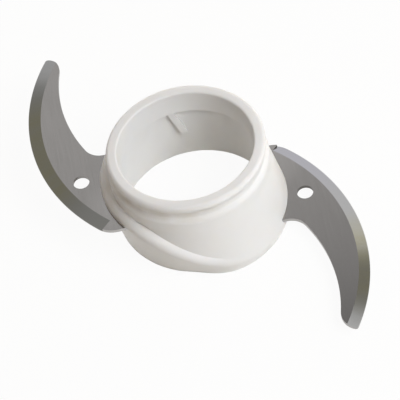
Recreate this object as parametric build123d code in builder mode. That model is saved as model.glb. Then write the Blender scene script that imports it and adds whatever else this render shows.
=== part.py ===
from build123d import *
import os
from math import acos, atan2, cos, degrees, hypot, pi, radians, sin, sqrt, tan

# Food processor blade: a moulded hub ring with two stamped sickle blades set in its wall,
# half a turn apart and one above the other. Millimetres, origin at the middle of the foot,
# +Z up the hub's axis, upper blade on the -X side.

# Hub ring
hub_height = 36.4
bore_radius = 24.8  # land that the drive carrier runs in
bore_land = 10.0  # height of that land, down from the rim
bore_round = 0.8  # bore's edge at the rim
bore_step = 1.5  # how much wider the bore is below the land
bore_draft = 2.8  # degrees, the lower bore opens towards the foot
rim_wall = 4.2  # bore to the outside of the lip
rim_round = 1.5

# Lip, groove and collar below the rim
lip_height = 2.4
lip_round = 1.0
groove_depth = 1.1
groove_height = 5.8  # lip to collar
groove_flank = 1.8  # height of the groove's sloping sides
groove_round = 1.4
collar_stand = 0.3  # how far the collar stands out past the lip
collar_height = 2.4  # collar's top to the height where the shoulder cone has the lip's radius
collar_sink = 2.8  # how much further the collar runs down inside the shoulder
collar_round = 3.5

# Shoulder cone, the wavy ledge that holds the blades, and the wall below it
shoulder_draft = 11.2  # degrees, the shoulder widens towards the ledge
ledge_stand = 4.15  # how far the ledge stands out past the lip
ledge_swell = 0.8  # how far the wall swells out at a blade's back edge and draws in at its heel
ledge_height = 4.3  # rounded face, from the ledge's widest line up to the shoulder
ramp_start = 26.0  # degrees from a blade's middle to where the ledge leaves its level
ramp_end = 125.0  # degrees from a blade's middle to where it reaches the other level
skirt_inset = 0.15  # how far the foot lies inside the ledge where the ledge is low
foot_inset = 3.35  # how much further in it lies where the ledge is high
foot_land = 0.5  # plain height of the foot ring
lean_rise = 9.5  # rise of the ledge over which the foot draws in
section_count = 24  # wall sections in half a turn

# Slanted drive ribs in the lower bore
rib_count = 2
rib_angle = 92.0  # degrees from +X to the middle of the first rib
rib_width = 2.5
rib_length = 12.2
rib_slant = 17.0  # degrees from the hub's axis
rib_setback = 0.3  # how far the ribs stay behind the bore's land

# Blades, drawn for the upper one, which reaches out along -X with its tip towards +Y
blade_thickness = 1.3
upper_drop = 16.9  # rim to the upper blade's top face
lower_rise = 5.5  # foot to the lower blade's top face
tang_depth = 4.4  # how deep a blade sits in the ledge
root_front = 17.3  # root's middle line to its side below the cutting edge
root_back = 18.6  # root's middle line to its side below the back edge
edge_radius = 71.5  # cutting edge, one arc
edge_reach = 55.7  # hub axis to the outermost point of the edge
edge_middle = 34.0  # that point, along the blade from the root's middle line
tip_length = 72.5  # root's middle line to the tip corner
tip_round = 1.0
lobe_length = 8.0  # rounded end behind the tip corner
back_radius = 64.0  # hollow back edge, one arc
back_reach = 42.0
back_middle = 49.5
back_round = 7.0  # where the back edge runs into the root
heel_round = 9.0  # unground corner of the root
upper_hole_reach = 39.8  # hub axis to the hole, along the root's middle line
lower_hole_reach = 38.9
hole_middle = 8.2  # root's middle line to the hole
hole_diameter = 6.0
upper_bevel = 4.8  # width of the ground bevel
lower_bevel = 3.9
edge_land = 0.15  # thickness left at the cutting edge
grind_gap = 1.3  # ledge to the end of the grind
grind_lead = 10.0  # degrees that the grind runs out past the tip

# Values that follow from the sizes above
overrun = 1.0  # how far a cutting shape runs past what it cuts
lip_radius = bore_radius + rim_wall
groove_radius = lip_radius - groove_depth
collar_radius = lip_radius + collar_stand
ledge_radius = lip_radius + ledge_stand
land_bottom = hub_height - bore_land
lower_bore = bore_radius + bore_step
foot_bore = lower_bore + land_bottom * tan(radians(bore_draft))
lip_bottom = hub_height - lip_height
collar_top = lip_bottom - groove_height
shoulder_top = collar_top - collar_height
upper_level = hub_height - upper_drop
lower_level = lower_rise
ledge_high = upper_level  # lies on the upper blade
ledge_low = lower_level - ledge_height  # lies under the lower blade's top face
rib_radius = bore_radius + rib_setback
tang_radius = ledge_radius - tang_depth
edge_centre = (edge_radius - edge_reach, edge_middle)
back_centre = (back_radius - back_reach, back_middle)


def radial_plane(angle, centre=(0, 0, 0)):
    """Upright plane through the centre, its X outwards at the angle and its Y up."""
    turn = radians(angle)
    return Plane(centre, x_dir=(cos(turn), sin(turn), 0), z_dir=(sin(turn), -cos(turn), 0))


def ease(share):
    """Smooth step from 0 to 1."""
    return (1 - cos(pi * min(max(share, 0), 1))) / 2


def ledge_level(angle):
    """Height of the ledge's widest line: level at each blade, with a ramp between the two."""
    here, there = (ledge_low, ledge_high) if angle % 360 < 180 else (ledge_high, ledge_low)
    return here + (there - here) * ease((angle % 180 - ramp_start) / (ramp_end - ramp_start))


def shoulder_point(height, swell=0):
    """Point of the shoulder cone, which starts inside the collar, with what it swells out there."""
    return (lip_radius + swell + (shoulder_top - height) * tan(radians(shoulder_draft)), height)


def wall_section(angle):
    """Lower hub wall in one radial plane: shoulder, rounded ledge, lower wall and foot."""
    level = ledge_level(angle)
    swell = -ledge_swell * sin(radians(2 * angle))
    reach = ledge_radius + swell
    shoulder = shoulder_point(collar_top)
    corner = shoulder_point(level + ledge_height, swell)
    foot = reach - skirt_inset - foot_inset * ease((level - ledge_low) / lean_rise)
    core = bore_radius - overrun
    with BuildSketch(radial_plane(angle)) as section:
        with BuildLine():
            Line(shoulder, corner)
            lower_wall = Line((foot, foot_land), (reach, level))
            TangentArc((reach, level), corner, tangent=lower_wall % 1)
            Line((foot, foot_land), (foot, -overrun))
            Polyline((foot, -overrun), (core, -overrun), (core, collar_top), shoulder)
        make_face()
    return section.sketch


def blade_plane(level, turn):
    """Plane of a blade's lower face, turned about the hub's axis."""
    x_dir = (cos(radians(turn)), sin(radians(turn)), 0)
    return Plane((0, 0, level - blade_thickness), x_dir=x_dir, z_dir=(0, 0, 1))


def on_arc(centre, radius, along):
    """Point of an edge arc at a distance along the blade."""
    return (centre[0] - sqrt(radius**2 - (along - centre[1]) ** 2), along)


def blade_blank(level, turn, hole_reach):
    """Outline of a blade: tang, cutting edge, rounded tip and hollow back edge."""
    heel = on_arc(edge_centre, edge_radius, -root_front)
    belly = on_arc(edge_centre, edge_radius, edge_middle)
    tip = on_arc(edge_centre, edge_radius, tip_length)
    lobe = on_arc(back_centre, back_radius, tip_length - lobe_length)
    throat = on_arc(back_centre, back_radius, back_middle)
    crotch = on_arc(back_centre, back_radius, root_back)
    tang_front = on_arc((0, 0), tang_radius, -root_front)
    tang_back = on_arc((0, 0), tang_radius, root_back)
    with BuildSketch(blade_plane(level, turn)) as blank:
        with BuildLine():
            Line(tang_front, heel)
            ThreePointArc(heel, belly, tip)
            back = ThreePointArc(crotch, throat, lobe)
            TangentArc(lobe, tip, tangent=back % 1)
            Line(crotch, tang_back)
            ThreePointArc(tang_back, (-tang_radius, 0), tang_front)
        make_face()
        for corner, radius in ((heel, heel_round), (tip, tip_round), (crotch, back_round)):
            fillet(blank.vertices().sort_by_distance((*corner, 0))[0], radius)
        with Locations((-hole_reach, hole_middle)):
            Circle(hole_diameter / 2, mode=Mode.SUBTRACT)
    return blank.sketch


def sickle_blade(level, turn, hole_reach, bevel):
    """One stamped blade, ground on its top face along the cutting edge up to near the ledge."""
    place = blade_plane(level, turn)
    axis_point = place.from_local_coords((*edge_centre, 0))
    inner = edge_radius - bevel
    offset = hypot(*edge_centre)
    swing = acos(((ledge_radius + grind_gap) ** 2 - offset**2 - inner**2) / (2 * offset * inner))
    grind_end = degrees(atan2(edge_centre[1], edge_centre[0]) + swing)
    tip = on_arc(edge_centre, edge_radius, tip_length)
    grind_start = degrees(atan2(tip[1] - edge_centre[1], tip[0] - edge_centre[0])) - grind_lead
    fall = (blade_thickness - edge_land) / bevel
    with BuildPart() as blade:
        extrude(blade_blank(level, turn, hole_reach), amount=blade_thickness)
        with BuildSketch(radial_plane(grind_start + turn, axis_point)):
            with BuildLine():
                top = (inner - overrun, blade_thickness + overrun * fall)
                bottom = (edge_radius + overrun, edge_land - overrun * fall)
                Polyline(top, bottom, (bottom[0], top[1]), close=True)
            make_face()
        revolve(
            axis=Axis(axis_point, (0, 0, 1)),
            revolution_arc=grind_end - grind_start,
            mode=Mode.SUBTRACT,
        )
    return blade


os.makedirs("parts", exist_ok=True)

# Hub: turned upper sleeve, lofted lower wall with its two-level ledge, stepped bore, ribs and seats
with BuildPart() as hub:
    with BuildSketch(Plane.XZ):
        with BuildLine():
            outside = FilletPolyline(
                (0, hub_height),
                (lip_radius, hub_height),
                (lip_radius, lip_bottom),
                (groove_radius, lip_bottom - groove_flank),
                (groove_radius, collar_top + groove_flank),
                (collar_radius, collar_top),
                (collar_radius, shoulder_top - collar_sink),
                radius=[rim_round, lip_round, groove_round, groove_round, collar_round],
            )
            Polyline(outside @ 1, (0, shoulder_top - collar_sink), outside @ 0)
        make_face()
    revolve(axis=Axis.Z)
    for half_turn in (0, 180):
        steps = range(section_count + 1)
        loft([wall_section(half_turn + 180 * step / section_count) for step in steps])
    split(bisect_by=Plane.XY, keep=Keep.TOP)
    with BuildSketch(Plane.XZ):
        with BuildLine():
            Polyline((0, 0), (foot_bore, 0), (lower_bore, land_bottom), (0, land_bottom), close=True)
        make_face()
    revolve(axis=Axis.Z, mode=Mode.SUBTRACT)
    for rib in range(rib_count):
        wall = radial_plane(rib_angle + 360 * rib / rib_count)
        lean = rib_length * tan(radians(rib_slant)) / 2
        face = Plane(wall.x_dir * rib_radius, x_dir=-wall.z_dir, z_dir=wall.x_dir)
        with BuildSketch(face):
            with BuildLine():
                Polyline(
                    (lean - rib_width / 2, land_bottom),
                    (lean + rib_width / 2, land_bottom),
                    (rib_width / 2 - lean, land_bottom - rib_length),
                    (-rib_width / 2 - lean, land_bottom - rib_length),
                    close=True,
                )
            make_face()
        extrude(amount=foot_bore - rib_radius)
    with BuildSketch():
        Circle(bore_radius)
    extrude(amount=hub_height, mode=Mode.SUBTRACT)
    rim_circles = hub.edges().filter_by(GeomType.CIRCLE).group_by(Axis.Z)[-1]
    fillet(rim_circles.sort_by(SortBy.RADIUS)[0], bore_round)
    for level, turn, reach in ((upper_level, 0, upper_hole_reach), (lower_level, 180, lower_hole_reach)):
        extrude(blade_blank(level, turn, reach), amount=blade_thickness, mode=Mode.SUBTRACT)
hub.part.label = "hub"
export_step(hub.part, "parts/hub.step")

upper_blade = sickle_blade(upper_level, 0, upper_hole_reach, upper_bevel)
upper_blade.part.label = "upper_blade"
export_step(upper_blade.part, "parts/upper_blade.step")

lower_blade = sickle_blade(lower_level, 180, lower_hole_reach, lower_bevel)
lower_blade.part.label = "lower_blade"
export_step(lower_blade.part, "parts/lower_blade.step")
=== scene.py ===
# %% [markdown]
# # A food processor blade, dressed for its portrait
#
# The part is a white moulded hub ring with two stamped and ground sickle blades set in its
# wall. The solids come packed in one frame, in metres, with the origin at the middle of the
# hub's foot and +Z up the bore. Nothing is moved or resized here. This lesson gives each
# surface its finish, sets up a small studio and places the camera.

# %% Load the frame
import math
from types import SimpleNamespace

import bpy
from mathutils import Matrix, Vector


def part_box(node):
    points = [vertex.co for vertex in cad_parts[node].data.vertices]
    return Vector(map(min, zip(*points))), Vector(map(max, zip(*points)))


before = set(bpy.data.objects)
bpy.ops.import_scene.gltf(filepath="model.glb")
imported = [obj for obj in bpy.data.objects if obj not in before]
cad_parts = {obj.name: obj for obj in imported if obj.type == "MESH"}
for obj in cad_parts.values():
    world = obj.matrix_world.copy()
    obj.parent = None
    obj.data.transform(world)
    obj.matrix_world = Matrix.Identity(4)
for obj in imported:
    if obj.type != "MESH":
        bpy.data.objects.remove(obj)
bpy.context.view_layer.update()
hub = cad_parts["hub"]
upper_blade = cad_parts["upper_blade"]
lower_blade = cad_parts["lower_blade"]

# %% [markdown]
# ## What the solids measure
#
# A finish has to lie where the solid has its form: dirt in the groove, grind lines on the
# bevel. What can be measured on the nodes is measured, so it follows them. The other lengths
# are the solids' own, and each stands beside the finish that needs it.

# %% Measure the hub and a blade
MM = 0.001
hub_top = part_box("hub")[1].z
blade_low, blade_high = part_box("upper_blade")
blade_thickness = blade_high.z - blade_low.z
edge_reach = -blade_low.x
print("hub", round(hub_top / MM, 1), "mm high, steel", round(blade_thickness / MM, 2), "mm thick,",
      "edges", round(edge_reach / MM, 1), "mm out to the side")

# %% [markdown]
# ## Smooth shading on a CAD mesh
#
# A CAD node arrives as loose triangles, so each of them would shade as a flat chip. Editing
# the mesh would cure it, but the solid has to stay as it was packed, so the cure is a live
# modifier. A small Geometry Nodes tree merges the corners that lie on each other, shades
# everything smooth and then marks the real edges sharp, where two faces meet at more than a
# set angle. The grind meets a blade's face at a shallow angle, so the blades get a smaller one.

# %% A Geometry Nodes tree for smooth faces and crisp edges
def crisp_edges_tree():
    """Merges loose corners, shades smooth and keeps the true edges sharp."""
    tree = bpy.data.node_groups.new("crisp_edges", "GeometryNodeTree")
    sockets = tree.interface
    sockets.new_socket("Geometry", in_out="INPUT", socket_type="NodeSocketGeometry")
    sockets.new_socket("Merge Distance", in_out="INPUT", socket_type="NodeSocketFloat")
    sockets.new_socket("Crisp Angle", in_out="INPUT", socket_type="NodeSocketFloat")
    sockets.new_socket("Geometry", in_out="OUTPUT", socket_type="NodeSocketGeometry")
    inlet = tree.nodes.new("NodeGroupInput")
    outlet = tree.nodes.new("NodeGroupOutput")
    merge = tree.nodes.new("GeometryNodeMergeByDistance")
    smooth = tree.nodes.new("GeometryNodeSetShadeSmooth")
    crisp = tree.nodes.new("GeometryNodeSetShadeSmooth")
    crisp.domain = "EDGE"
    crisp.inputs["Shade Smooth"].default_value = False
    angle = tree.nodes.new("GeometryNodeInputMeshEdgeAngle")
    steep = tree.nodes.new("FunctionNodeCompare")
    for start, end in (
        (inlet.outputs["Geometry"], merge.inputs["Geometry"]),
        (inlet.outputs["Merge Distance"], merge.inputs["Distance"]),
        (merge.outputs["Geometry"], smooth.inputs["Geometry"]),
        (smooth.outputs["Geometry"], crisp.inputs["Geometry"]),
        (angle.outputs["Unsigned Angle"], steep.inputs["A"]),
        (inlet.outputs["Crisp Angle"], steep.inputs["B"]),
        (steep.outputs["Result"], crisp.inputs["Selection"]),
        (crisp.outputs["Geometry"], outlet.inputs["Geometry"]),
    ):
        tree.links.new(start, end)
    return tree


crisp_tree = crisp_edges_tree()
print("tree", crisp_tree.name, "has", len(crisp_tree.nodes), "nodes")

# %% Put the tree on the three nodes
merge_distance = 0.002 * MM
moulded_angle = math.radians(24)
stamped_angle = math.radians(11)
crisp_inputs = {
    socket.name: socket.identifier
    for socket in crisp_tree.interface.items_tree
    if socket.in_out == "INPUT"
}
crisp_angles = ((hub, moulded_angle), (upper_blade, stamped_angle), (lower_blade, stamped_angle))
for node, crisp_angle in crisp_angles:
    modifier = node.modifiers.new("crisp_edges", "NODES")
    modifier.node_group = crisp_tree
    modifier[crisp_inputs["Merge Distance"]] = merge_distance
    modifier[crisp_inputs["Crisp Angle"]] = crisp_angle
    print(node.name, "shades smooth, crisp above", round(math.degrees(crisp_angle)), "degrees")

# %% [markdown]
# ## Shader maths as Python
#
# A finish is a sum of many small effects. Wired by hand, each plus and times is a node, so
# one class wraps an output socket and lets Python's own operators add the Math nodes.
# Every other node comes from its one method `node`: the type, the settings, then the sockets.

# %% A socket that takes part in expressions
class Wire:
    """An output socket of a node tree. Maths on it adds Math nodes to that tree."""

    def __init__(self, tree, socket=None):
        self.tree = tree
        self.socket = socket

    @staticmethod
    def find(sockets, key):
        """A socket by its place, or by its identifier or name among those in use."""
        if isinstance(key, int):
            return sockets[key]
        return next(s for s in sockets if s.enabled and key in (s.identifier, s.name))

    def node(self, kind, settings, inlets, outlet=0):
        """Adds a node, sets it up, feeds its sockets and returns one outlet as a Wire."""
        made = self.tree.nodes.new(kind)
        for name, value in settings.items():
            setattr(made, name, value)
        for key, value in inlets.items():
            socket = self.find(made.inputs, key)
            if isinstance(value, Wire):
                self.tree.links.new(value.socket, socket)
            else:
                socket.default_value = value
        return Wire(self.tree, self.find(made.outputs, outlet))

    def math(self, operation, *values):
        """A Math node in the same tree, fed by values or wires."""
        return self.node("ShaderNodeMath", {"operation": operation}, dict(enumerate(values)))

    def __add__(self, other):
        return self.math("ADD", self, other)

    def __radd__(self, other):
        return self.math("ADD", other, self)

    def __sub__(self, other):
        return self.math("SUBTRACT", self, other)

    def __rsub__(self, other):
        return self.math("SUBTRACT", other, self)

    def __mul__(self, other):
        return self.math("MULTIPLY", self, other)

    def __rmul__(self, other):
        return self.math("MULTIPLY", other, self)

    def step(self, low, high):
        """Smooth rise from 0 at low to 1 at high. It falls where low is the larger."""
        inlets = {"Value": self, "From Min": low, "From Max": high}
        return self.node("ShaderNodeMapRange", {"interpolation_type": "SMOOTHSTEP"}, inlets)

    def band(self, middle, width, soft):
        """1 within half the width of the middle, with soft flanks outside it."""
        off_middle = self.math("ABSOLUTE", self - middle)
        return off_middle.step(width / 2 + soft, width / 2)


print("a wire can", [name for name in vars(Wire) if not name.startswith("_")])

# %% [markdown]
# ## Words for finishes
#
# The finishes below need the same few nodes again and again: noise, a stretched place, two
# colours mixed, a bump. A function for each keeps a finish as short as a recipe. Noise scales
# are in waves per metre, because a node's coordinates are in metres.

# %% Places and patterns
def split(place):
    """The X, Y and Z of a place."""
    return [place.node("ShaderNodeSeparateXYZ", {}, {"Vector": place}, axis) for axis in "XYZ"]


def vector(x, y, z):
    """Three values, the first of them a wire, as one place."""
    return x.node("ShaderNodeCombineXYZ", {}, {"X": x, "Y": y, "Z": z})


def away(x, y):
    """Distance from where both values are 0."""
    return x.math("SQRT", x * x + y * y)


def stretched(place, scales, turn=0.0):
    """The place, turned about Z and scaled along its axes, for streaks."""
    inlets = {"Vector": place, "Rotation": (0, 0, turn), "Scale": scales}
    return place.node("ShaderNodeMapping", {}, inlets)


def noise(place, scale=1.0, detail=2.0, roughness=0.5):
    """Even noise about 0.5 at a place."""
    inlets = {"Vector": place, "Scale": scale, "Detail": detail, "Roughness": roughness}
    return place.node("ShaderNodeTexNoise", {}, inlets)


print("places and patterns ready")

# %% Mixtures
def mixed(share, first, second):
    """Two colours mixed by a share."""
    inlets = {"Factor": share, "A": first, "B": second}
    return share.node("ShaderNodeMix", {"data_type": "RGBA"}, inlets, "Result")


def eased(share, first, second):
    """Two values mixed by a share."""
    return first + (second - first) * share


def varied(value, *swings):
    """A value that patterns about 0.5 push up and down, each by its own amount."""
    for pattern, amount in swings:
        value = value + (pattern - 0.5) * amount
    return value


print("mixtures ready")

# %% A material and its shader
def finish_for(name):
    """A new material: its tree as a Wire, its shader and its object coordinates."""
    material = bpy.data.materials.new(name)
    material.use_nodes = True
    start = Wire(material.node_tree)
    shader = material.node_tree.nodes["Principled BSDF"]
    place = start.node("ShaderNodeTexCoord", {}, {}, "Object")
    return material, start, shader, place


def feed(start, node, **sockets):
    """Links wires to a node's sockets, Base_Color for Base Color."""
    for name, wire in sockets.items():
        start.tree.links.new(wire.socket, node.inputs[name.replace("_", " ")])


def bump(height, strength, depth):
    """A normal bent by a height map of that real depth."""
    inlets = {"Strength": strength, "Distance": depth, "Height": height}
    return height.node("ShaderNodeBump", {}, inlets)


def dress(node, material):
    """Gives a CAD node its finish."""
    node.data.materials.clear()
    node.data.materials.append(material)
    print(node.name, "wears", material.name)


print("materials start from a Principled shader")

# %% [markdown]
# ## White moulded plastic
#
# The hub is an injection moulding in a warm white. Real white plastic isn't even: the
# colour drifts a little with the flow of the melt, and the bore's land has faint rings where
# the carrier has slid in and out. The groove under the lip is painted a yellowish brown that
# is partly fine dust and partly painted shade, and it is left out far to the right, where the
# light falls. All that could be painted on an unwrapped map. Masks from the solid's own
# coordinates need no unwrapping and stay sharp up close: the drift is wide noise, the dust
# and painted shade are masked by height and side, and the rings are noise that is stretched
# round the bore.

# %% Dust and painted shade in the groove
lip_height = 2.4 * MM
groove_height = 5.8 * MM
groove_middle = hub_top - lip_height - groove_height / 2
bore_radius = 24.8 * MM
# The groove's darker, yellower band is partly fine dust and partly painted shade.
dust_and_shade_height = groove_height * 0.5
dust_and_shade_fade = groove_height * 0.35
dust_and_shade_waves = 130
dust_and_shade_share = 0.6
# A mask's pair says where it is 0 and where it is 1, here and below.
dust_and_shade_depth = (bore_radius + 1.5 * MM, bore_radius + 2.5 * MM)
dust_and_shade_sides = (18 * MM, -6 * MM)
dust_and_shade_patches = (0.25, 0.75)


def groove_dirt_and_shade(place, x, z, radius):
    """Share of the groove's dust and painted shade: outside in the groove, patchy, and none far to the
    right, where the light falls.
    """
    dust_and_shade = z.band(groove_middle, dust_and_shade_height, dust_and_shade_fade) * radius.step(*dust_and_shade_depth)
    patches = noise(place, dust_and_shade_waves, detail=3).step(*dust_and_shade_patches)
    return dust_and_shade * patches * x.step(*dust_and_shade_sides) * dust_and_shade_share


print("dirt lies about", round(groove_middle / MM, 1), "mm above the foot")

# %% Rings on the bore's land
land_height = 10.0 * MM
land_foot = hub_top - land_height
land_start = (land_foot, land_foot + 0.5 * MM)
land_depth = (bore_radius + 0.6 * MM, bore_radius + 0.2 * MM)
ring_waves = 900
ring_sway = 0.4


def slide_rings(z, radius, turn):
    """Faint rings round the bore's land, and nothing elsewhere."""
    land = radius.step(*land_depth) * z.step(*land_start)
    rings = noise(vector(turn * ring_sway, z * ring_waves, 0), detail=3, roughness=0.6)
    return land * rings


print("rings lie from", round(land_foot / MM, 1), "mm up to the rim")

# %% Colour of the plastic
plastic_white = (0.80, 0.788, 0.765, 1)
plastic_drift = (0.77, 0.754, 0.722, 1)
# Colour of the groove: partly dust and partly painted shade.
groove_dust_and_shade = (0.65, 0.61, 0.52, 1)
drift_waves = 45
drift_edge = (0.35, 0.7)
drift_share = 0.6
mottle_waves = 420
mottle_share = 0.2


def plastic_colour(place, mottle, dust_and_shade):
    """White that drifts and mottles a little, under the groove's dust and painted shade."""
    drift = noise(place, drift_waves, detail=3).step(*drift_edge)
    colour = mixed(drift * drift_share + mottle * mottle_share, plastic_white, plastic_drift)
    return mixed(dust_and_shade, colour, groove_dust_and_shade)


print("plastic drifts from", plastic_white[:3], "to", plastic_drift[:3])

# %% Relief of the plastic
grain_waves = 2600
grain_height = 0.5
ripple_waves = 300
ripple_height = 0.7
ring_height = 0.5
plastic_bump = 0.25
plastic_relief = 0.02 * MM


def plastic_normal(place, rings):
    """The mould's fine grain, a faint ripple and the slide rings."""
    grain = noise(place, grain_waves, detail=1) * grain_height
    ripple = noise(place, ripple_waves) * ripple_height
    return bump(grain + ripple + rings * ring_height, plastic_bump, plastic_relief)


print("plastic relief", round(plastic_relief / MM, 3), "mm deep")

# %% Finish of the hub
plastic_roughness = 0.42
mottle_dulls = 0.14
dirt_dulls = 0.2
rings_polish = 0.12
plastic_ior = 1.5
glow_share = 0.2
glow_reach = (1.0, 0.8, 0.6)
glow_depth = 1.0 * MM


def moulded_white():
    """Warm white plastic that lets a little light in, with slide marks, and dust and painted shade in
    the groove.
    """
    material, start, shader, place = finish_for("moulded_white")
    x, y, z = split(place)
    radius = away(x, y)
    dust_and_shade = groove_dirt_and_shade(place, x, z, radius)
    rings = slide_rings(z, radius, start.math("ARCTAN2", y, x))
    mottle = noise(place, mottle_waves)
    colour = plastic_colour(place, mottle, dust_and_shade)
    roughness = varied(plastic_roughness, (mottle, mottle_dulls))
    roughness = roughness + dust_and_shade * dirt_dulls - rings * rings_polish
    feed(start, shader, Base_Color=colour, Roughness=roughness, Normal=plastic_normal(place, rings))
    shader.inputs["IOR"].default_value = plastic_ior
    shader.inputs["Subsurface Weight"].default_value = glow_share
    shader.inputs["Subsurface Radius"].default_value = glow_reach
    shader.inputs["Subsurface Scale"].default_value = glow_depth
    return material


dress(hub, moulded_white())

# %% [markdown]
# ## Rolled and ground steel
#
# Each blade is stamped from rolled stainless sheet, so its face has a fine straight grain.
# The bevel was ground afterwards across the edge, which leaves fine lines that run out from
# the centre of the cutting edge's arc. The bevel's olive tint is a painted reflection. The
# wall of the tooling hole was sheared by the punch, so it is dull, and it is painted dark as
# painted shade. A lighter patch near the heel is a painted reflection, and a lighter strip
# along the cutting edge is a painted highlight.
#
# The bevel could have a material of its own on chosen faces, but the mesh has to stay as it
# is. It is the only slope on a blade, so the surface's own normal tells the shader where the
# wheel has been: less upright than the face, and far more so than a stamped side.

# %% Places along the cutting edge
edge_radius = 71.5 * MM
edge_middle = 34.0 * MM


def edge_polar(x, y, side):
    """Reach from the centre of the cutting edge's arc, and swing along it in radians."""
    out_x = x - side * (edge_radius - edge_reach)
    out_y = y - side * edge_middle
    return away(out_x, out_y), x.math("ARCTAN2", out_y * side, out_x * -side)


print("the edge's arc has its centre", round((edge_radius - edge_reach) / MM, 1), "mm past the axis")

# %% Where the wheel has been, and where shade, a reflection and a highlight are painted
bevel_spread = 0.03
bevel_soft = 0.004
side_slope = (0.6, 0.4)
hole_radius = 3.0 * MM
hole_aside = 8.2 * MM
# The wall of the tooling hole is painted darker: painted shade.
hole_edge = (hole_radius + 0.3 * MM, hole_radius + 0.15 * MM)
# Near the heel the face is painted lighter: a painted reflection.
heel_reflection_reach = (46 * MM, 33 * MM)
heel_reflection_swing = (-0.5, -0.68)
# A thin strip along the cutting edge is painted lighter: a painted highlight.
edge_highlight_width = 0.25 * MM
edge_highlight_span = (edge_radius - edge_highlight_width, edge_radius - edge_highlight_width * 0.6)


def blade_masks(x, y, reach, swing, side, bevel, hole_reach):
    """Shares of a blade's surface: ground and stamped, painted shade in the hole, a painted reflection
    near the heel and a painted highlight along the edge.
    """
    normal = x.node("ShaderNodeNewGeometry", {}, {}, "True Normal")
    upright = split(normal)[2]
    slope = math.cos(math.atan2(blade_thickness, bevel))
    ground = upright.band(slope, bevel_spread, bevel_soft)
    stamped = upright.step(*side_slope)
    from_hole = away(x + side * hole_reach, y - side * hole_aside)
    return SimpleNamespace(
        ground=ground,
        stamped=stamped,
        hole_shade=from_hole.step(*hole_edge) * stamped,
        heel_reflection=away(x, y).step(*heel_reflection_reach) * swing.step(*heel_reflection_swing),
        edge_highlight=reach.step(*edge_highlight_span) * ground,
    )


print("masks follow a hole of", round(2 * hole_radius / MM, 1), "mm and steel honed for",
      round(edge_highlight_width / MM, 2), "mm")

# %% Grain of the sheet and lines of the wheel
rolled_waves = (2600, 60, 2600)
scratch_waves = (900, 14, 900)
scratch_turn = math.radians(24)
scratch_cut = (0.74, 0.78)
cloud_waves = 55
line_waves = (900, 150)
wheel_waves = (22, 90)


def blade_grain(place, reach, swing):
    """Patterns of a blade: rolled grain, clouds, scratches, fine lines and wheel marks."""
    lines = vector(swing * line_waves[0], reach * line_waves[1], 0)
    wheel = vector(swing * wheel_waves[0], reach * wheel_waves[1], 0)
    scratches = stretched(place, scratch_waves, scratch_turn)
    return SimpleNamespace(
        rolled=noise(stretched(place, rolled_waves), detail=3, roughness=0.6),
        cloud=noise(place, cloud_waves, detail=3),
        scratch=noise(scratches, detail=1).step(*scratch_cut),
        lines=noise(lines, detail=3, roughness=0.6),
        wheel=noise(wheel),
    )


print("scratches lie", round(math.degrees(scratch_turn)), "degrees off the rolled grain")

# %% Colour of the steel
steel_face = (0.424, 0.408, 0.396, 1)
steel_streak = (0.40, 0.383, 0.371, 1)
# A painted reflection: the lighter steel near the heel.
steel_heel_reflection = (0.53, 0.512, 0.497, 1)
steel_ground = (0.42, 0.418, 0.416, 1)
# A painted reflection: the olive tint on the bevel.
steel_olive_reflection = (0.42, 0.40, 0.305, 1)
# A painted highlight: the lighter strip along the cutting edge.
steel_edge_highlight = (0.60, 0.595, 0.58, 1)
# Painted shade: the dark wall of the tooling hole.
steel_hole_shade = (0.13, 0.122, 0.114, 1)
heel_reflection_share = 0.7
edge_highlight_share = 0.6
streak_edge = (0.3, 0.75)
streak_share = 0.45
cloud_share = 0.3
wheel_edge = (0.3, 0.7)
wheel_olive = 0.3
line_olive = 0.3
least_olive = 0.5


def steel_colour(mask, grain, olive_reflection, hole_shade_share):
    """The sheet's colour and the ground bevel's, with painted light: a reflection near the heel, an
    olive reflection on the bevel, a highlight along the edge and shade in the hole.
    """
    streaks = grain.rolled.step(*streak_edge) * streak_share + grain.cloud * cloud_share
    olive_share = grain.wheel.step(*wheel_edge) * wheel_olive + grain.lines * line_olive + least_olive
    colour = mixed(streaks, steel_face, steel_streak)
    colour = mixed(mask.heel_reflection * heel_reflection_share, colour, steel_heel_reflection)
    colour = mixed(mask.ground, colour, mixed(olive_reflection * olive_share, steel_ground, steel_olive_reflection))
    colour = mixed(mask.edge_highlight * edge_highlight_share, colour, steel_edge_highlight)
    return mixed(mask.hole_shade * hole_shade_share, colour, steel_hole_shade)


print("steel tones", steel_face[:3], "on the face and", steel_ground[:3], "on the bevel")

# %% Gloss of the steel
face_roughness = 0.16
ground_roughness = 0.12
side_roughness = 0.42
rolled_dulls = 0.10
cloud_dulls = 0.08
lines_dull = 0.12
wheel_dulls = 0.08


def steel_roughness(mask, grain):
    """Glossy on the ground bevel, a little less so on the face, dull on the stamped sides."""
    face = varied(face_roughness, (grain.rolled, rolled_dulls), (grain.cloud, cloud_dulls))
    ground = varied(ground_roughness, (grain.lines, lines_dull), (grain.wheel, wheel_dulls))
    return eased(mask.stamped, eased(mask.ground, face, ground), side_roughness)


print("roughness", face_roughness, "on the face and", ground_roughness, "on the bevel")

# %% Relief of the steel
rolled_height = 0.3
line_height = 0.4
scratch_depth = 0.3
steel_bump = 0.12
steel_relief = 0.01 * MM


def steel_normal(mask, grain):
    """Rolled grain and scratches on the face, and lines across the bevel."""
    face = 1 - mask.ground
    height = grain.rolled * face * rolled_height + grain.lines * mask.ground * line_height
    height = height - grain.scratch * face * scratch_depth
    return bump(height, steel_bump, steel_relief)


print("steel relief", round(steel_relief / MM, 3), "mm deep")

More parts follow.
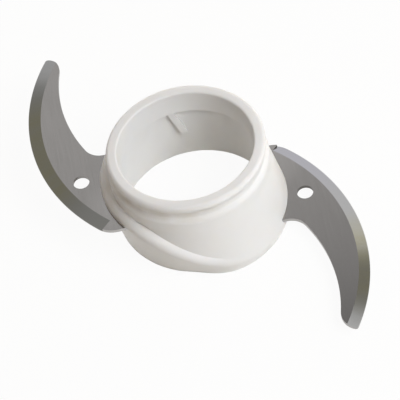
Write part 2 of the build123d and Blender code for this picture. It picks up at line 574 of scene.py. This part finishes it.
# %% Finish of the blades
# Lengths are in metres, and the stretch of painted olive reflection is in radians along the cutting
# edge.
olive_reflection_fade = 0.24
upper_finish = {
    "side": 1,
    "bevel": 4.8 * MM,
    "hole_reach": 39.8 * MM,
    # The hole's share of painted shade.
    "hole_shade_share": 0.5,
    "olive_reflection_middle": -0.13,
    "olive_reflection_width": 0.5,
}
lower_finish = {
    "side": -1,
    "bevel": 3.9 * MM,
    "hole_reach": 38.9 * MM,
    # The hole's share of painted shade.
    "hole_shade_share": 1.0,
    "olive_reflection_middle": 0.15,
    "olive_reflection_width": 0.26,
}


def blade_steel(name, side, bevel, hole_reach, hole_shade_share, olive_reflection_middle, olive_reflection_width):
    """Steel of one blade. The side is 1 for the upper blade and -1 for the half-turned one."""
    material, start, shader, place = finish_for(name)
    x, y = split(place)[:2]
    reach, swing = edge_polar(x, y, side)
    mask = blade_masks(x, y, reach, swing, side, bevel, hole_reach)
    grain = blade_grain(place, reach, swing)
    # A band along the bevel gets a painted olive reflection.
    olive_reflection = swing.band(olive_reflection_middle, olive_reflection_width, olive_reflection_fade)
    colour = steel_colour(mask, grain, olive_reflection, hole_shade_share)
    roughness = steel_roughness(mask, grain)
    feed(start, shader, Base_Color=colour, Roughness=roughness, Normal=steel_normal(mask, grain))
    shader.inputs["Metallic"].default_value = 1
    return material


for blade, finish in ((upper_blade, upper_finish), (lower_blade, lower_finish)):
    dress(blade, blade_steel(blade.name + "_steel", **finish))

# %% [markdown]
# ## Studio
#
# The part lies on a plain white sheet. A sheet that is only lit would need far more light
# than the part can take before it looks white. So the camera and the reflections see it as
# white directly, with a little of its true shading left in, and the part's soft shadow stays.

# %% Kinds of rays
def ray_kind(start, kind):
    """1 for rays of one kind, such as Camera or Glossy."""
    return start.node("ShaderNodeLightPath", {}, {}, f"Is {kind} Ray")


def seen_rays(start):
    """1 for rays from the camera and for mirrored or transmitted ones."""
    seen = ray_kind(start, "Camera") + ray_kind(start, "Glossy") + ray_kind(start, "Transmission")
    return start.math("MINIMUM", seen, 1.0)


print("camera, glossy and transmission rays see the white directly")

# %% Floor
floor_size = 3.0
floor_white = 0.94
floor_roughness = 0.9
floor_waves = 30
sheet_light = (0.84, 0.81, 0.75, 1)
sheet_shade = (0.82, 0.79, 0.73, 1)
pure_white = (1, 1, 1, 1)


def white_sheet():
    """A lit sheet for diffuse rays that is almost pure white where it is seen."""
    material, start, shader, place = finish_for("white_sheet")
    colour = mixed(noise(place, floor_waves, detail=3), sheet_light, sheet_shade)
    feed(start, shader, Base_Color=colour)
    shader.inputs["Roughness"].default_value = floor_roughness
    lit = Wire(start.tree, shader.outputs["BSDF"])
    white = start.node("ShaderNodeEmission", {}, {"Color": pure_white, "Strength": 1.0})
    both = start.node("ShaderNodeMixShader", {}, {0: seen_rays(start) * floor_white, 1: lit, 2: white})
    feed(start, start.tree.nodes["Material Output"], Surface=both)
    return material


def floor_sheet():
    """One square under the part."""
    half = floor_size / 2
    corners = [(-half, -half, 0), (half, -half, 0), (half, half, 0), (-half, half, 0)]
    mesh = bpy.data.meshes.new("floor")
    mesh.from_pydata(corners, [], [(0, 1, 2, 3)])
    mesh.materials.append(white_sheet())
    floor = bpy.data.objects.new("floor", mesh)
    bpy.context.scene.collection.objects.link(floor)
    return floor


floor = floor_sheet()
print("floor", floor_size, "m wide")

# %% [markdown]
# ## Room
#
# Bare steel has hardly any colour of its own: its tone is what it mirrors. A photographer
# sets cards and flags round it for that. A picture of a room could stand in for them, but a
# few soft-edged cards drawn by direction need no file and can be set one by one. They are
# shown only to mirrored rays: a hazy middle, a dark flag at each side, a bright wall behind
# to the right, a soft box beside it and a pale ceiling straight above. Diffuse rays get a
# faint even room light.

# %% Edges of the cards
# Pairs in degrees: right of straight behind, or above the floor where it is a top or a foot.
haze_top = (55.6, 50.7)
left_flag = (-20.8, -23.4)
right_flag = (38, 43)
flag_top = (52, 60)
wall_start = (4, 10)
wall_end = (43, 37)
wall_top = (46, 40)
wall_cool = (32, 22)
box_start = (48, 53)
box_end = (120, 100)
box_foot = (49.5, 55.5)
ceiling_foot = (73, 81)
# The flags end at the part's sides, where the Y of a direction passes these.
flag_behind = (-0.2, 0.1)


def higher(z, degrees):
    """Smooth change from 0 to 1 between two elevations."""
    low, high = (math.sin(math.radians(angle)) for angle in degrees)
    return z.step(low, high)


print("the wall runs from", wall_start[0], "to", wall_end[0], "degrees right of straight behind")

# %% Light of the cards
overhead_level = 0.10
haze_level = 0.70
flag_level = 0.33
flag_lift = 0.08
wall_level = 1.0
ceiling_level = 0.6
flag_tint = (1.0, 0.99, 0.93)
cool_tint = (0.99, 0.985, 1.06)


def tinted(level, tint):
    """A grey level as a colour with a tint."""
    return vector(*(level * share for share in tint))


def card_light(start):
    """What mirrored rays see, by their direction."""
    x, y, z = split(start.node("ShaderNodeTexCoord", {}, {}, "Generated"))
    azimuth = start.math("ARCTAN2", x, y) * math.degrees(1)
    flags = start.math("MAXIMUM", azimuth.step(*left_flag), azimuth.step(*right_flag))
    flags = flags * y.step(*flag_behind)
    wall = azimuth.step(*wall_start) * azimuth.step(*wall_end) * higher(z, wall_top)
    box = azimuth.step(*box_start) * azimuth.step(*box_end) * higher(z, box_foot)
    level = eased(higher(z, haze_top), overhead_level, haze_level)
    level = eased(flags, level, flag_level + higher(z, flag_top) * flag_lift)
    level = eased(start.math("MAXIMUM", wall, box), level, wall_level)
    level = eased(higher(z, ceiling_foot), level, ceiling_level)
    colour = mixed(flags * (1 - box), level, tinted(level, flag_tint))
    return mixed(wall * azimuth.step(*wall_cool), colour, tinted(level, cool_tint))


print("card levels from", overhead_level, "to", wall_level)

# %% World
room_light = (0.17, 0.141, 0.116, 1)


def studio_world():
    """White for the camera, a faint room for diffuse rays, and cards for mirrored ones."""
    world = bpy.data.worlds.new("studio")
    world.use_nodes = True
    start = Wire(world.node_tree)
    colour = mixed(seen_rays(start), room_light, card_light(start))
    colour = mixed(ray_kind(start, "Camera"), colour, pure_white)
    background = world.node_tree.nodes["Background"]
    background.inputs["Strength"].default_value = 1
    feed(start, background, Color=colour)
    return world


bpy.context.scene.world = studio_world()
print("room light", room_light[:3])

# %% [markdown]
# ## Lamps
#
# The hub's roundness is read from soft shading. One large soft box in front to the right
# does most of the work, and weak ones lift the other sides. A low one at the rear keeps the
# back of the hub white and only grazes the rim's top. The lamps are hidden from mirrored
# rays, so the steel keeps the cards' tones. Most of their powers were found by comparing one
# picture per lamp with the tones that the hub should have.

# %% Lamps
lamp_aim = Vector((0, 0, hub_top / 2))
lamp_distance = 0.8
lamp_size = 0.45
key_white = (0.90, 0.94, 1.0)
cool_white = (0.8, 0.9, 1.0)
warm_white = (1.0, 0.86, 0.66)
plain_white = (1.0, 0.96, 0.91)


def soft_lamp(name, azimuth, elevation, power, colour):
    """A square soft box, azimuth 0 behind the part and 90 at its right, that faces the part."""
    turn = math.radians(azimuth)
    rise = math.radians(elevation)
    way = Vector((math.sin(turn) * math.cos(rise), math.cos(turn) * math.cos(rise), math.sin(rise)))
    light = bpy.data.lights.new(name, "AREA")
    light.shape = "SQUARE"
    light.size = lamp_size
    light.energy = power
    light.color = colour
    lamp = bpy.data.objects.new(name, light)
    facing = way.to_track_quat("Z", "Y").to_matrix().to_4x4()
    lamp.matrix_world = Matrix.Translation(lamp_aim + way * lamp_distance) @ facing
    lamp.visible_glossy = False
    bpy.context.scene.collection.objects.link(lamp)
    return lamp


lamps = [
    soft_lamp("key", azimuth=135, elevation=45, power=5.9, colour=key_white),
    soft_lamp("side", azimuth=90, elevation=38, power=0.6, colour=cool_white),
    soft_lamp("back", azimuth=45, elevation=15, power=1.55, colour=warm_white),
    soft_lamp("left", azimuth=270, elevation=55, power=0.2, colour=warm_white),
    soft_lamp("fill", azimuth=330, elevation=30, power=0.3, colour=plain_white),
    soft_lamp("rear", azimuth=345, elevation=6, power=4.0, colour=key_white),
]
print("lamps", {lamp.name: round(lamp.data.energy, 2) for lamp in lamps})

# %% [markdown]
# ## Camera
#
# The picture is a long-lens view from about 49 degrees above, with the camera rolled so
# that the part lies aslant in the frame. The lens, distance, tilt and roll were found from
# the ellipses of the rim and the bore. The rim's middle isn't the picture's middle. A lens
# shift could move it there, but it would stay on in every other view, so the camera is
# turned a little to the side instead.

# %% Place the camera
frame_pixels = 400
focal_pixels = 2477.0
rim_pixel = (184.9, 145.1)
sensor_width = 36.0
camera_distance = 884.0 * MM
camera_elevation = math.radians(49.28)
camera_roll = math.radians(12.84)


def portrait_camera():
    """A camera that sees the middle of the rim at its pixel, rolled as the picture is."""
    ahead = Vector((0, math.cos(camera_elevation), -math.sin(camera_elevation)))
    level_right = Vector((1, 0, 0))
    level_up = level_right.cross(ahead)
    right = level_right * math.cos(camera_roll) - level_up * math.sin(camera_roll)
    up = level_right * math.sin(camera_roll) + level_up * math.cos(camera_roll)
    middle = frame_pixels / 2
    aside = (middle - rim_pixel[0]) / focal_pixels
    down = (middle - rim_pixel[1]) / focal_pixels
    aim = (ahead + right * aside - up * down).normalized()
    right = (right - aim * right.dot(aim)).normalized()
    up = right.cross(aim)
    optics = bpy.data.cameras.new("portrait")
    optics.sensor_width = sensor_width
    optics.lens = focal_pixels * sensor_width / frame_pixels
    camera = bpy.data.objects.new("portrait", optics)
    stand = Vector((0, 0, hub_top)) - ahead * camera_distance
    facing = Matrix((right, up, -aim)).transposed().to_4x4()
    camera.matrix_world = Matrix.Translation(stand) @ facing
    bpy.context.scene.collection.objects.link(camera)
    return camera


camera = portrait_camera()
bpy.context.scene.camera = camera
bpy.context.scene.view_settings.view_transform = "Standard"
print("camera lens", round(camera.data.lens, 1), "mm at", [round(c, 3) for c in camera.location])

# %% [markdown]
# ## Size
#
# The finishes add no thickness, so the dressed part fills the same box as the solids.
